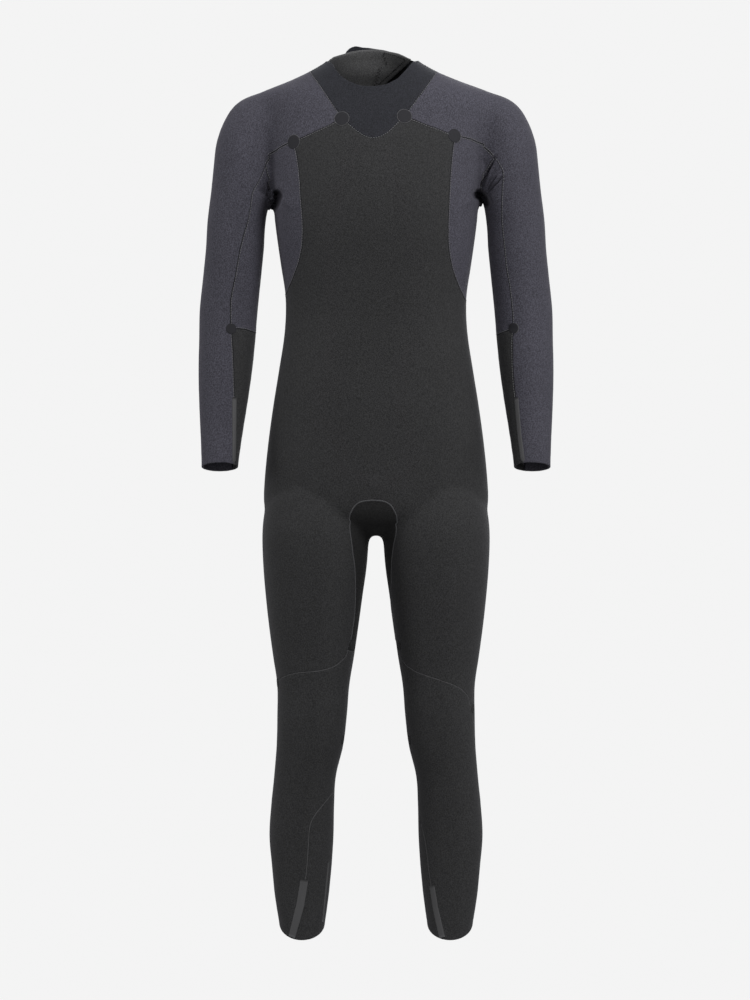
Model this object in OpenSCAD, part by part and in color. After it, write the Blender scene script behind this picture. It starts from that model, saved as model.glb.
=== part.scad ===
// Full wetsuit with a back zip, standing in the shape that it has when it is worn.
// It is drawn with z = 0 at the ankle hems, then moved so that its origin is where a hanger carries it.
// The front faces -Y. "Left" and "right" are the wearer's, so left is +X.

/* [Suit] */
// Half width of the chest below the arms
chest_half_w = 170; // [160:1:185]
// Half width of the waist
waist_half_w = 149; // [140:1:160]
// Half width of the hips
hip_half_w = 182; // [172:1:192]
// Thickness of the neoprene
skin_t = 4; // [3:0.5:5]
// Gap left at each seam between two panels
seam_gap = 0.38; // [0.2:0.02:0.6]

/* [Limbs] */
// Half width of the upper arm
upper_arm_r = 48; // [44:1:52]
// Half width of the wrist
wrist_r = 31; // [28:1:34]
// Half width of the thigh at the crotch
thigh_r = 88; // [82:1:92]
// Half width of the calf
calf_r = 53; // [48:1:57]
// Half width of the ankle
ankle_r = 37; // [34:1:40]

/* [Seams] */
// Radius of the round patches that cover the seam crossings
patch_r = 11; // [9:0.5:12]
// Width of the seam tapes at the wrists and ankles
tape_w = 10; // [8:0.5:14]
// Thickness of the tapes and the round patches
tape_t = 0.8; // [0.5:0.1:1.2]
// Width of the sealing bead along a leg seam
bead_w = 3; // [2:0.5:4]

/* [Zip] */
// Radius of the arc that the zip follows down the back
zip_r = 1100; // [1000:20:1200]
// Width of the slot between the back panels
zip_slot_w = 17; // [16:1:20]
// Distance from one tooth to the next on one side
tooth_pitch = 3.2; // [3:0.1:4]
// Length of the puller
puller_len = 34; // [28:1:40]
// Radius of the hole that takes a pull cord
cord_hole_r = 2.5; // [2:0.1:3]

/* [Hidden] */

suit_h = 1475;          // ankle hem to the top of the collar tab
hang_z = 1388;          // height of the hanger's arms, just under the shoulders
crotch_z = 668;
armpit_z = 1213;
neck_shift = -5;        // the neck sits a little to the right of the middle
side_y = 0;             // the side seams lie in this plane
reach = 260;            // further than any part of the suit is from the side plane
ring_step = 33;         // height of one course of facets

sleeve_grey = [0.29, 0.28, 0.33];
body_black = [0.19, 0.19, 0.20];
collar_grey = [0.21, 0.22, 0.25];
gusset_black = [0.12, 0.12, 0.12];
tape_grey = [0.33, 0.33, 0.34];
metal_grey = [0.45, 0.46, 0.48];

// The zip's arc: its centre is far in front of the chest
zip_mid_z = 1235;
zip_apex_y = 118;
zip_centre_y = zip_apex_y - zip_r;
zip_top_z = 1395;
zip_bottom_z = 1003;
slider_z = 1381;        // the slider's height when the zip is closed
function zip_angle(z) = asin((z - zip_mid_z) / zip_r);
function spine_y(z) = zip_centre_y + sqrt(zip_r * zip_r - (z - zip_mid_z) * (z - zip_mid_z));

// Body stations, from the bottom: [height, centre x, half width, front depth, back depth, squareness]
torso = [
    [crotch_z, 0, 16, 26, 32, 2],
    [674, 0, 100, 44, 54, 2],
    [684, 0, 158, 70, 84, 2],
    [702, 0, hip_half_w - 2, 88, 105, 2.1],
    [724, 0, hip_half_w + 3, 95, 115, 2.2],
    [750, 0, hip_half_w + 2.5, 98, 119, 2.3],
    [792, 0, hip_half_w - 1, 100, 117, 2.4],
    [842, 0, hip_half_w - 7, 102, 105, 2.4],
    [891, 0, hip_half_w - 14, 103, 95, 2.4],
    [941, 0, waist_half_w + 11, 103, 86, 2.4],
    [992, 0, waist_half_w + 3, 103, spine_y(992), 2.4],
    [1027, 0, waist_half_w, 104, spine_y(1027), 2.4],
    [1064, 0, waist_half_w + 0.5, 108, spine_y(1064), 2.4],
    [1114, 0, chest_half_w - 13, 114, spine_y(1114), 2.4],
    [1163, 0, chest_half_w - 6, 121, spine_y(1163), 2.4],
    [armpit_z, 0, chest_half_w, 124, spine_y(armpit_z), 2.3],
    [1262, 0, chest_half_w + 5, 121, spine_y(1262), 2.2],
    [1312, 0, chest_half_w + 12, 111, spine_y(1312), 2.1],
    [1350, 0, chest_half_w + 20, 98, spine_y(1350), 2],
    [1378, 0, chest_half_w + 27, 86, spine_y(1378), 2],
    [1394, 0, chest_half_w + 26, 78, spine_y(1394), 2],
    [1403, -1, chest_half_w + 13, 74, spine_y(1403), 2],
    [1411, -2, 158, 71, 101.5, 2],
    [1419, -3, 137, 68, 96.5, 2],
    [1427, -4, 118, 66, 90, 2],
    [1435, neck_shift, 101, 64, 84, 2],
    [1444, neck_shift, 85, 62, 79, 2],
    [1453, neck_shift - 1, 73, 60, 74.5, 2],
    [1464, neck_shift - 1, 68, 59, 70, 2],
    [1500, neck_shift - 1, 65, 57, 63, 2]
];
arm = [
    [740, 260, wrist_r - 2, 66, 0, 2],
    [792, 257, wrist_r, 66, -7, 2],
    [841, 254.5, wrist_r + 4.5, 58, 12, 2],
    [891, 251.5, wrist_r + 9.5, 52, 28, 2],
    [941, 248.5, wrist_r + 13.5, 48, 42, 2],
    [990, 245.5, wrist_r + 15.5, 44, 54, 2],
    [1040, 243, upper_arm_r, 42, 59, 2],
    [1089, 238, upper_arm_r, 43, 59, 2],
    [1139, 233, upper_arm_r, 45, 60, 2],
    [1188, 229.5, upper_arm_r + 0.5, 46, 62, 2],
    [1237, 218.5, upper_arm_r + 5.5, 49, 66, 2],
    [1287, 216, upper_arm_r + 3, 50, 67, 2],
    [1312, 214.5, upper_arm_r + 1.5, 48, 66, 2],
    [1336, 211, upper_arm_r - 2, 44, 63, 2],
    [1353, 206.5, upper_arm_r - 5, 39, 59, 2],
    [1369, 201, upper_arm_r - 9, 32, 53, 2],
    [1380, 195, upper_arm_r - 13, 25, 47, 2],
    [1389, 188, upper_arm_r - 19, 17, 40, 2],
    [1396, 182, upper_arm_r - 28, 8, 33, 2]
];
leg = [
    [-30, 122, ankle_r - 2, 46, 36, 2],
    [0, 122, ankle_r - 1, 46, 38, 2],
    [25, 122, ankle_r + 0.5, 45, 40, 2],
    [74, 122.5, ankle_r + 7.5, 43, 46, 2],
    [124, 122.5, calf_r - 3.5, 44, 56, 2],
    [173, 123, calf_r, 46, 64, 2],
    [223, 121, calf_r - 1, 49, 66, 2],
    [272, 117, calf_r - 2, 53, 60, 2],
    [322, 109, calf_r + 2, 59, 54, 2],
    [371, 105.5, calf_r + 4.5, 64, 55, 2],
    [421, 103.5, calf_r + 6.5, 66, 60, 2],
    [470, 103, thigh_r - 21, 72, 68, 2],
    [520, 102.7, thigh_r - 14, 79, 76, 2],
    [569, 102, thigh_r - 8, 86, 84, 2],
    [619, 100.5, thigh_r - 2.5, 92, 93, 2.1],
    [crotch_z, 99.5, thigh_r, 95, 103, 2.2],
    [700, 97.5, thigh_r - 0.5, 92, 106, 2.2],
    [730, 95, thigh_r - 4, 86, 102, 2.2],
    [765, 90, thigh_r - 14, 73, 91, 2.2]
];

// Which station interval a height falls in
function interval(t, z, i = 0) = (i >= len(t) - 2 || z <= t[i + 1][0]) ? i : interval(t, z, i + 1);
// Slope of column c at station i
function slope(t, i, c) =
    let (a = t[max(i - 1, 0)], b = t[min(i + 1, len(t) - 1)])
    (b[c] - a[c]) / (b[0] - a[0]);
// Column c at height z, on a smooth cubic through the stations
function station(t, z, c) =
    let (i = interval(t, z), h = t[i + 1][0] - t[i][0], u = (z - t[i][0]) / h)
    t[i][c] * (1 + 2 * u) * (1 - u) * (1 - u) + slope(t, i, c) * h * u * (1 - u) * (1 - u)
    + t[i + 1][c] * u * u * (3 - 2 * u) + slope(t, i + 1, c) * h * u * u * (u - 1);
function spread(v, n) = sign(v) * pow(abs(v), 2 / n);

// One course of points round a limb; inset moves it inward, so that an inner surface is a skin's
// thickness inside
function course(t, z, inset, n) =
    let (cx = station(t, z, 1), a = max(station(t, z, 2) - inset, 1),
         front = station(t, z, 3) - inset, back = station(t, z, 4) - inset, sq = station(t, z, 5),
         mid = (back - front) / 2, b = max((front + back) / 2, 1))
    [for (i = [0:n - 1]) [cx + a * spread(cos(360 * i / n), sq), mid + b * spread(sin(360 * i / n), sq)]];

// Closed solid through all the courses. The heights close up by the inset at both ends
module loft(t, inset, n, low_inset, high_inset) {
    z0 = t[0][0];
    z1 = t[len(t) - 1][0];
    courses = ceil((z1 - z0) / ring_step);
    heights = [for (k = [0:courses]) z0 + (z1 - z0) * k / courses];
    stretch = (z1 - high_inset - z0 - low_inset) / (z1 - z0);
    points = [for (z = heights) for (p = course(t, z, inset, n))
        [p[0], p[1], z0 + low_inset + (z - z0) * stretch]];
    sides = [for (k = [0:courses - 1]) for (i = [0:n - 1]) let (j = (i + 1) % n)
        [[k * n + i, (k + 1) * n + i, (k + 1) * n + j], [k * n + i, (k + 1) * n + j, k * n + j]]];
    faces = concat([for (pair = sides) for (f = pair) f],
        [[for (i = [0:n - 1]) i]], [[for (i = [0:n - 1]) courses * n + n - 1 - i]]);
    polyhedron(points, faces);
}

// The whole body shape, inset all over
module body(inset) {
    loft(torso, inset, 28, inset, 0);
    for (s = [0, 1]) mirror([s, 0, 0]) {
        loft(arm, inset, 16, 0, inset);
        loft(leg, inset, 16, 0, inset);
    }
}

// Space above the neckline and beyond the cuffs and hems, which the openings take away
neckline = [[0, 1408], [22, 1411], [41, 1421], [55, 1436], [66, 1449], [90, 1454], [120, 1454],
    [120, 1540]];
// The back of the collar has a domed top, a little higher towards the right
collar_top = [[-80, 1451], [-76, 1453], [-61, 1460.5], [-49, 1466], [-34, 1469.5], [-20, 1471],
    [-5, 1470.5], [12, 1468.5], [28, 1465], [44, 1459.5], [58, 1453.5], [64, 1451]];
module openings(raise) {
    through(mirrored(neckline), -reach, 12);
    slab([for (q = concat([[-120, 1451]], collar_top, [[120, 1451], [120, 1560], [-120, 1560]]))
        q + [0, raise]],
        side_y + 1, reach, 0);
    for (s = [-1, 1]) {
        translate([s * 257, -66, 788]) rotate([-14, 0, 0]) translate([-60, -20, -100])
            cube([120, 140, 100]);
        translate([s * 122, -46, 0]) rotate([31, 0, 0]) translate([-60, -40, -80]) cube([120, 180, 80]);
    }
}

// A layer that follows the body between two insets, open at the neck, cuffs and hems. A raise lets it
// stand higher than the back of the collar
module layer(outer, inner, raise = 0) {
    difference() {
        body(outer);
        body(inner);
        openings(raise);
    }
}

// Smooth curve through a few points
function curve(p, steps = 3) = [for (i = [0:len(p) - 2]) for (k = [0:steps - 1])
    let (a = p[max(i - 1, 0)], b = p[i], c = p[i + 1], d = p[min(i + 2, len(p) - 1)], u = k / steps)
    (2 * b + (c - a) * u + (2 * a - 5 * b + 4 * c - d) * u * u + (3 * b - a - 3 * c + d) * u * u * u)
        / 2];
function with_end(p, steps = 3) = concat(curve(p, steps), [p[len(p) - 1]]);
function reversed(p) = [for (i = [len(p) - 1:-1:0]) p[i]];
function flipped(p) = [for (q = p) [-q[0], q[1]]];
// An open outline on the left and its mirror image on the right, as one closed outline
function mirrored(p) = concat(p, reversed(flipped(p)));

// The suit hangs a little towards the right, most of all near the middle. On the back the zip
// stays straight
function lean(x, z, front) = neck_shift * (1 - min(1, x * x / 52900)) * min(1, max(0, (z - 400) / 80))
    * (front ? 1 : min(1, max(0, (abs(x) - 20) / 60)));
function settled(p, front) = [for (q = p) [q[0] + lean(q[0], q[1], front), q[1]]];
module slab(outline, y0, y1, grow) {
    translate([0, y1, 0]) rotate([90, 0, 0]) linear_extrude(y1 - y0) offset(delta = grow)
        polygon(outline);
}
// A front-view outline carried through the suit from depth y0 to depth y1
module through(outline, y0, y1, grow = 0) {
    if (y0 < side_y) slab(settled(outline, true), y0, y1 > side_y ? side_y + 0.5 : y1, grow);
    if (y1 > side_y) slab(settled(outline, false), max(y0, side_y), y1, grow);
}
// One panel of the skin. A cut from the smooth body has no true curves, so it stays a mesh
module panel(colour, layer_out = 0, layer_in = skin_t, raise = 0) {
    color(colour) resize([0, 0, 0]) intersection() {
        layer(layer_out, layer_in, raise);
        children();
    }
}
module front_cut(outline) through(outline, -reach, side_y - seam_gap / 2, -seam_gap / 2);
module back_cut(outline) through(outline, side_y + seam_gap / 2, reach, -seam_gap / 2);
module full_cut(outline) through(outline, -reach, reach, -seam_gap / 2);
// The outlines are those of the left side, and the right side has them the other way round
function side(outline, left) = left ? outline : flipped(outline);

// Seam lines in the front view, all given as on the left half. The two sides differ a little
collar_seam_left = [[104, 1431], [83, 1401], [60, 1369], [51.6, 1358.5]];
collar_seam_right = [[104, 1431], [83, 1401], [60, 1367], [51.6, 1354.5]];
collar_v_left = [[51.6, 1358.5], [42, 1349], [27.5, 1334], [13.5, 1325], [0, 1322]];
collar_v_right = [[51.6, 1354.5], [42, 1346.5], [27, 1334], [13, 1325], [0, 1322]];
chest_seam_left = [[51.6, 1358.5], [93, 1342], [132.8, 1326.3]];
chest_seam_right = [[51.6, 1354.5], [72, 1344], [98, 1332], [119, 1322.5], [132.8, 1316]];
armhole_left = [[132.8, 1326.3], [158, 1321], [174, 1313.4], [185, 1305], [196, 1291.5]];
armhole_right = [[132.8, 1316], [144, 1312.6], [157, 1305.8], [169.4, 1297], [175, 1291], [181, 1278]];
armpit_left = [[196, 1291.5], [187, 1277], [181, 1265], [176.5, 1249], [174.5, 1232], [174.5, 1206]];
armpit_right = [[181, 1278], [178, 1262], [175.5, 1243], [174.5, 1224], [174.5, 1206]];
inner_arm_left = [[196, 1291.5], [205.5, 1277], [210.3, 1264], [209, 1240], [207.8, 1205], [208.6, 1180],
    [212.1, 1148], [215.5, 1110], [220, 1082.6], [223, 1058], [225.3, 1032], [226.4, 1009.3]];
inner_arm_right = [[181, 1278], [185, 1266], [195, 1247], [203, 1233], [207, 1206], [211.2, 1184],
    [218, 1162.4], [225.6, 1133], [231.5, 1099], [236.4, 1074.5], [239.4, 1058], [240.4, 1034],
    [238.9, 1008.5]];
elbow_left = [[226.4, 1009.3], [216, 1004.5], [206, 1000.5], [198, 997], [190, 994]];
elbow_right = [[238.9, 1008.5], [226, 1008.5], [213, 1007], [200, 1002], [189, 997]];
forearm_left = [[226.4, 1009.3], [225.5, 985], [226, 950], [228, 915], [231, 890], [236, 835],
    [243, 780], [247, 720]];
forearm_right = [[238.9, 1008.5], [237, 985], [235, 950], [234, 915], [233.5, 890], [233.5, 835],
    [234, 780], [235, 720]];
side_seam_left = [[132.8, 1326.3], [129, 1300], [126, 1265], [124, 1230], [122.5, 1190], [122, 1152],
    [127, 1117], [135, 1089], [150, 1055]];
side_seam_right = [[132.8, 1316], [127, 1296], [122.5, 1265], [119.5, 1222], [116.5, 1185],
    [117, 1150], [124, 1117], [134.5, 1089], [150, 1055]];
back_yoke_left = [[104, 1431], [96, 1408], [92, 1385], [98, 1358], [112, 1338], [132.8, 1326.3]];
back_yoke_right = [[104, 1431], [96, 1408], [92, 1385], [97, 1356], [111, 1332], [132.8, 1316]];
collar_back_seam = [[104, 1431], [88, 1416], [60, 1407], [0, 1405]];
waist_seam = [[0, 972], [60, 976], [110, 992], [150, 1020], [180, 1040]];
gusset_seam = [[0, 726], [22, 723], [34, 711], [40, 693], [39, 675], [34.5, 648], [31, 616], [30, 582],
    [31, 540], [36.5, 500], [43, 478]];
knee_seam_left = [[43, 478], [44, 466], [54, 453], [68, 443], [87, 435.5], [109, 428], [128, 421],
    [143, 412], [152, 400], [157, 384], [190, 372]];
knee_seam_right = [[-43, 478], [-46, 468.6], [-56, 458.7], [-70, 450], [-89, 444.7], [-109, 442.5],
    [-132, 440], [-151, 434], [-163, 425], [-190, 400]];
knee_back_seam = [[20, 380], [70, 372], [120, 370], [190, 378]];
calf_seam_left = [[60, 228], [66, 215], [70.5, 203], [76, 186], [82, 160], [86, 126], [89, 101], [92, 82],
    [99, 50], [111, 0], [116, -30]];
calf_seam_right = [[-66, 250], [-77, 236], [-88, 223], [-98.5, 210], [-106, 197], [-110, 183],
    [-112, 155], [-114, 121], [-117, 100], [-127, 55], [-141, 2], [-150, -30]];

front_outline_left = concat(reversed(with_end(collar_v_left)), with_end(chest_seam_left),
    with_end(side_seam_left), [[177, 1040], [185, 930], [200, 820], [215, 700], [215, 372]],
    reversed(with_end(knee_seam_left)),
    reversed(with_end(gusset_seam)));
front_outline_right = concat(reversed(with_end(collar_v_right)), with_end(chest_seam_right),
    with_end(side_seam_right),
    [[177, 1040], [185, 930], [200, 820], [215, 700], [215, 400]],
        reversed(with_end(flipped(knee_seam_right))),
    reversed(with_end(gusset_seam)));
function close_right(left, right) = concat(left, reversed(flipped(right)));

// Each seam's own list for the left or the right
function armhole(left) = with_end(left ? armhole_left : armhole_right);
function inner_arm(left) = with_end(left ? inner_arm_left : inner_arm_right);
function armpit(left) = with_end(left ? armpit_left : armpit_right);
function elbow(left) = with_end(left ? elbow_left : elbow_right);
function forearm(left) = with_end(left ? forearm_left : forearm_right);
function side_seam(left) = with_end(left ? side_seam_left : side_seam_right);
function back_yoke(left) = with_end(left ? back_yoke_left : back_yoke_right);
function collar_seam(left) = with_end(left ? collar_seam_left : collar_seam_right);
function collar_v(left) = with_end(left ? collar_v_left : collar_v_right);
function chest_seam(left) = with_end(left ? chest_seam_left : chest_seam_right);

function sleeve_front_outline(left) = concat([[120, 1475]],
    collar_seam(left), chest_seam(left), armhole(left),
    inner_arm(left), forearm(left), [[340, 720], [340, 1420]]);
function sleeve_back_outline(left) = concat([[117, 1475]],
    back_yoke(left), armhole(left), inner_arm(left),
    forearm(left), [[340, 720], [340, 1420]]);
function side_outline(left) = concat(armhole(left), armpit(left),
    [[174.5, 1188], [176, 1120], [177, 1040]], reversed(side_seam(left)));
function underarm_outline(left) = concat(inner_arm(left), elbow(left),
    [[177, 1040], [176, 1120], [174.5, 1188]], reversed(armpit(left)));
function forearm_outline(left) = concat(elbow(left), [[185, 930], [204, 820], [204, 720]],
    reversed(forearm(left)));
function beyond(p, x) = [for (q = p) if (q[0] > x) q];
function upper_back_outline(left) = concat([[zip_slot_w / 2, 972], [zip_slot_w / 2, 1405]],
    reversed(beyond(with_end(collar_back_seam), zip_slot_w / 2)), back_yoke(left), side_seam(left),
    [[180, 1040]], reversed(beyond(with_end(waist_seam), zip_slot_w / 2)));
function collar_outline(left) = concat(reversed(collar_v(left)), reversed(collar_seam(left)),
    [[120, 1475], [120, 1540]]);
gusset_outline = concat(with_end(gusset_seam), [[0, 466]]);
calf_inner_left = concat([[40, 230]], with_end(calf_seam_left), [[40, -30]]);
calf_inner_right = concat([[-40, 252]], with_end(calf_seam_right), [[-40, -30]]);
knee_outline_left = concat(with_end(knee_seam_left), [[215, 372], [215, -60], [0, -60], [0, 478]]);
knee_outline_right = concat(with_end(knee_seam_right), [[-215, 400], [-215, -60], [0, -60], [0, 478]]);

module front_panel()
    panel(body_black) front_cut(close_right(front_outline_left, front_outline_right));
module upper_back(left) panel(body_black) back_cut(side(upper_back_outline(left), left));
module seat_panel() panel(body_black) difference() {
    back_cut(mirrored(concat(with_end(waist_seam), [[204, 820], [215, 700], [215, 378]],
        reversed(with_end(knee_back_seam)), [[0, 380]])));
    through(mirrored(gusset_outline), 0, reach, seam_gap / 2);
}
module crotch_gusset() panel(gusset_black) full_cut(mirrored(gusset_outline));
module sleeve(left) panel(sleeve_grey) {
    slab(settled(side(sleeve_front_outline(left), left), true), -reach, side_y + 0.5, -seam_gap / 2);
    slab(settled(side(sleeve_back_outline(left), left), false), side_y, reach, -seam_gap / 2);
}
module side_panel(left) panel(sleeve_grey) full_cut(side(side_outline(left), left));
module underarm_panel(left) panel(sleeve_grey) full_cut(side(underarm_outline(left), left));
module forearm_panel(left) panel(body_black) full_cut(side(forearm_outline(left), left));
module knee_panel(left) panel(body_black) difference() {
    front_cut(left ? knee_outline_left : knee_outline_right);
    through(left ? calf_inner_left : calf_inner_right, -reach, reach, seam_gap / 2);
    through(mirrored(gusset_outline), -reach, reach, seam_gap / 2);
}
module inner_calf_panel(left) panel(body_black) front_cut(left ? calf_inner_left : calf_inner_right);
module calf_panel(left) panel(body_black)
    back_cut(side(concat([[0, 380]], with_end(knee_back_seam), [[215, 378], [215, -60],
        [0, -60]]), left));

module collar_yoke() panel(collar_grey) front_cut(close_right(collar_outline(true),
    collar_outline(false)));
module collar_back(left) panel(collar_grey) back_cut(side(concat(
    reversed(beyond(with_end(collar_back_seam), 1)), [[117, 1475], [117, 1540], [1, 1540],
        [1, 1405]]), left));
// The flap inside the collar crosses the back from the right and ends on a slant
module collar_inner_flap() panel(body_black, skin_t + 0.6, skin_t + 2.6)
    back_cut([[-112, 1404], [10, 1400.5], [18, 1413], [59, 1449.5], [59, 1540], [-112, 1540]]);
// The tab outside the collar is fastened on the left and closes towards the right
module collar_tab() panel(collar_grey, -4.4, -1.9, 12)
    back_cut([[52, 1440], [52, 1456], [30, 1464.5], [14, 1468.5], [-2, 1471], [-14, 1473.5],
        [-26, suit_h],
        [-37, 1474.5], [-44, 1470], [-47, 1463], [-45, 1452], [-36, 1444], [-22, 1440]]);
// Hook side on the tab's tip and loop side on the collar, in the space between them
module tab_hook_pad() panel(tape_grey, -1.8, -1.25)
    back_cut([[-12, 1446], [-37, 1448], [-42, 1454], [-42, 1462], [-12, 1466]]);
module collar_loop_pad() panel(tape_grey, -0.85, -0.1)
    back_cut([[-4, 1444], [-46, 1446], [-50, 1452], [-49, 1461], [-4, 1467]]);

// A thin layer on the outside of the skin, inside a front-view outline
module overlay(colour, y0, y1) color(colour) resize([0, 0, 0]) intersection() {
    layer(-0.1 - tape_t, -0.1);
    translate([0, y1, 0]) rotate([90, 0, 0]) linear_extrude(y1 - y0) children();
}
module spots(on_left, on_right, r) overlay(collar_grey, -reach, side_y)
    for (p = settled([on_left, [-on_right[0], on_right[1]]], true)) translate(p) circle(r, $fn = 16);
module collar_spots() spots(collar_v_left[0], collar_v_right[0], patch_r);
module chest_spots() spots(armhole_left[0], armhole_right[0], patch_r);
module elbow_spots() spots(elbow_left[0], elbow_right[0], patch_r - 2);
// The knees' patches lie round the sides of the legs, so each one is where a ball meets the surface
module knee_spots() color(collar_grey) resize([0, 0, 0]) intersection() {
    layer(-0.1 - tape_t, -0.1);
    for (p = [[38, -27, 486], [-43, -28, 487], [59, -17, 331], [-59, -17, 331], [158, -22, 382],
        [-162, -14, 424]])
        translate(p) sphere(patch_r - 2, $fn = 16);
}
// A band of one width along a curve
module band(points, w) for (i = [0:len(points) - 2]) hull() {
    translate(points[i]) circle(w / 2, $fn = 8);
    translate(points[i + 1]) circle(w / 2, $fn = 8);
}
module wrist_tape(left) overlay(tape_grey, -reach, side_y - 30)
    band(left ? [[231, 890], [236, 835], [243, 780]] : [[-233.5, 895], [-233.5, 835], [-234, 770]],
        tape_w);
module ankle_tapes(left) overlay(tape_grey, -reach, side_y) {
    band(left ? [[92, 84], [99, 50], [112, -4]] : [[-117, 96], [-127, 55], [-142, -2]], tape_w + 2);
    if (!left) band([[-74, 130], [-84, 24]], 6);
}
module gusset_seam_bead() overlay(metal_grey, -reach, side_y)
    band(settled(mirrored(with_end([for (p = gusset_seam) if (p[1] > 495) p])), true), bead_w);

// A bar of constant section along the zip's arc, between radii r0 and r1 and heights z0 and z1
module arc_bar(x0, x1, r0, r1, z0, z1) {
    translate([0, zip_centre_y, zip_mid_z]) rotate([90, 0, 90]) rotate([0, 0, zip_angle(z0)])
        rotate_extrude(angle = zip_angle(z1) - zip_angle(z0), $fn = 256)
            translate([zip_r + r0, x0]) square([r1 - r0, x1 - x0]);
}
// The zip's own frame at a height: Y points out of the back and Z up along the zip
module zip_frame(z) {
    translate([0, zip_centre_y, zip_mid_z]) rotate([zip_angle(z), 0, 0]) translate([0, zip_r, 0])
        children();
}
tape_out = -5.3;        // outer face of the zip's tapes, measured from the back's surface
tooth_top = -2.9;
tooth_n = floor((zip_top_z - zip_bottom_z) / tooth_pitch);
pin_r = 0.8;
pin_y = 1.4;
pin_z = 4;
module zip_tape(left) color(body_black)
    arc_bar(left ? 2.8 : -18, left ? 18 : -2.8, tape_out - 0.6, tape_out, 988, 1399);
module zip_teeth(left) color(metal_grey) for (i = [0:tooth_n - 1])
    zip_frame(zip_bottom_z + 1 + (i + (left ? 0 : 0.5)) * tooth_pitch)
        translate([left ? -1.3 : -4, tape_out + 0.02, -0.65]) cube([5.3, tooth_top - tape_out, 1.3]);
module zip_slider() color(metal_grey) zip_frame(slider_z) difference() {
    union() {
        translate([0, -1, 0]) rotate([90, 0, 0]) linear_extrude(1.5)
            polygon([[-6.5, -10], [-4.5, -13.5], [4.5, -13.5], [6.5, -10], [6.5, 7], [4, 12.5],
                [-4, 12.5], [-6.5, 7]]);
        for (s = [-6.5, 5]) translate([s, -4.9, -10]) cube([1.5, 3.4, 17]);
        for (s = [-3.6, 2.2]) translate([s, -1.5, pin_z - 2.5]) cube([1.4, 5, 5]);
    }
    translate([-5, pin_y, pin_z]) rotate([0, 90, 0]) cylinder(r = pin_r + 0.02, h = 10, $fn = 48);
}
module slider_pin() color(metal_grey) zip_frame(slider_z)
    translate([-3.6, pin_y, pin_z]) rotate([0, 90, 0]) cylinder(r = pin_r, h = 7.2, $fn = 48);
module zip_puller() color(metal_grey) zip_frame(slider_z) translate([0, pin_y, pin_z]) difference() {
    union() {
        translate([-1.8, 0, 0]) rotate([0, 90, 0]) cylinder(r = 1.9, h = 3.6, $fn = 48);
        translate([0, 0.8, 0]) rotate([90, 0, 0]) linear_extrude(1.6)
            polygon([[-1.8, 0], [1.8, 0], [1.8, -5], [4.5, -9], [5.5, -puller_len + 5], [3, -puller_len],
                [-3, -puller_len], [-5.5, -puller_len + 5], [-4.5, -9], [-1.8, -5]]);
    }
    translate([-5, 0, 0]) rotate([0, 90, 0]) cylinder(r = pin_r + 0.1, h = 10, $fn = 48);
    translate([0, 5, -puller_len + 6.5]) rotate([90, 0, 0]) cylinder(r = cord_hole_r, h = 10, $fn = 48);
}
module zip_top_stops() color(metal_grey) for (s = [-4, 0.5])
    zip_frame(zip_top_z + 3) translate([s, tape_out + 0.02, -1]) cube([3.5, tooth_top - tape_out, 2]);
module zip_bottom_box() color(metal_grey)
    zip_frame(zip_bottom_z - 6) translate([-4.5, tape_out + 0.02, -5.5]) cube([9,
        tooth_top - tape_out + 0.4, 11]);
module zip_backing_flap() color(body_black) arc_bar(-14, 36, -9.3, -7, 985, 1400);
module zip_end_patch() overlay(collar_grey, side_y, reach) translate([-14, 962]) square([28, 27]);

// Everything is moved so that the hanger's place is the origin
module placed() translate([0, 0, -hang_z]) children();
placed() collar_yoke();
placed() collar_back(true);  // collar_back_left
placed() collar_back(false);  // collar_back_right
placed() collar_inner_flap();
placed() collar_tab();
placed() tab_hook_pad();
placed() collar_loop_pad();
placed() front_panel();
placed() upper_back(true);  // upper_back_left
placed() upper_back(false);  // upper_back_right
placed() seat_panel();
placed() crotch_gusset();
placed() sleeve(true);  // sleeve_left
placed() sleeve(false);  // sleeve_right
placed() side_panel(true);  // side_panel_left
placed() side_panel(false);  // side_panel_right
placed() underarm_panel(true);  // underarm_panel_left
placed() underarm_panel(false);  // underarm_panel_right
placed() forearm_panel(true);  // forearm_panel_left
placed() forearm_panel(false);  // forearm_panel_right
placed() knee_panel(true);  // knee_panel_left
placed() knee_panel(false);  // knee_panel_right
placed() inner_calf_panel(true);  // inner_calf_panel_left
placed() inner_calf_panel(false);  // inner_calf_panel_right
placed() calf_panel(true);  // calf_panel_left
placed() calf_panel(false);  // calf_panel_right
placed() zip_tape(true);  // zip_tape_left
placed() zip_tape(false);  // zip_tape_right
placed() zip_teeth(true);  // zip_teeth_left
placed() zip_teeth(false);  // zip_teeth_right
placed() zip_slider();
placed() slider_pin();
placed() zip_puller();
placed() zip_top_stops();
placed() zip_bottom_box();
placed() zip_backing_flap();
placed() zip_end_patch();
placed() collar_spots();  // collar_spot_patches
placed() chest_spots();  // chest_spot_patches
placed() elbow_spots();  // elbow_spot_patches
placed() knee_spots();  // knee_spot_patches
placed() wrist_tape(true);  // wrist_tape_left
placed() wrist_tape(false);  // wrist_tape_right
placed() ankle_tapes(true);  // ankle_tapes_left
placed() ankle_tapes(false);  // ankle_tapes_right
placed() gusset_seam_bead();
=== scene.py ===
"""Looks for the full wetsuit: one smooth skin over the CAD shape, cut into its panels along the CAD seams."""

import bpy
import bmesh
import math
import numpy as np
from mathutils import Matrix, Vector
from mathutils.bvhtree import BVHTree


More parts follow.
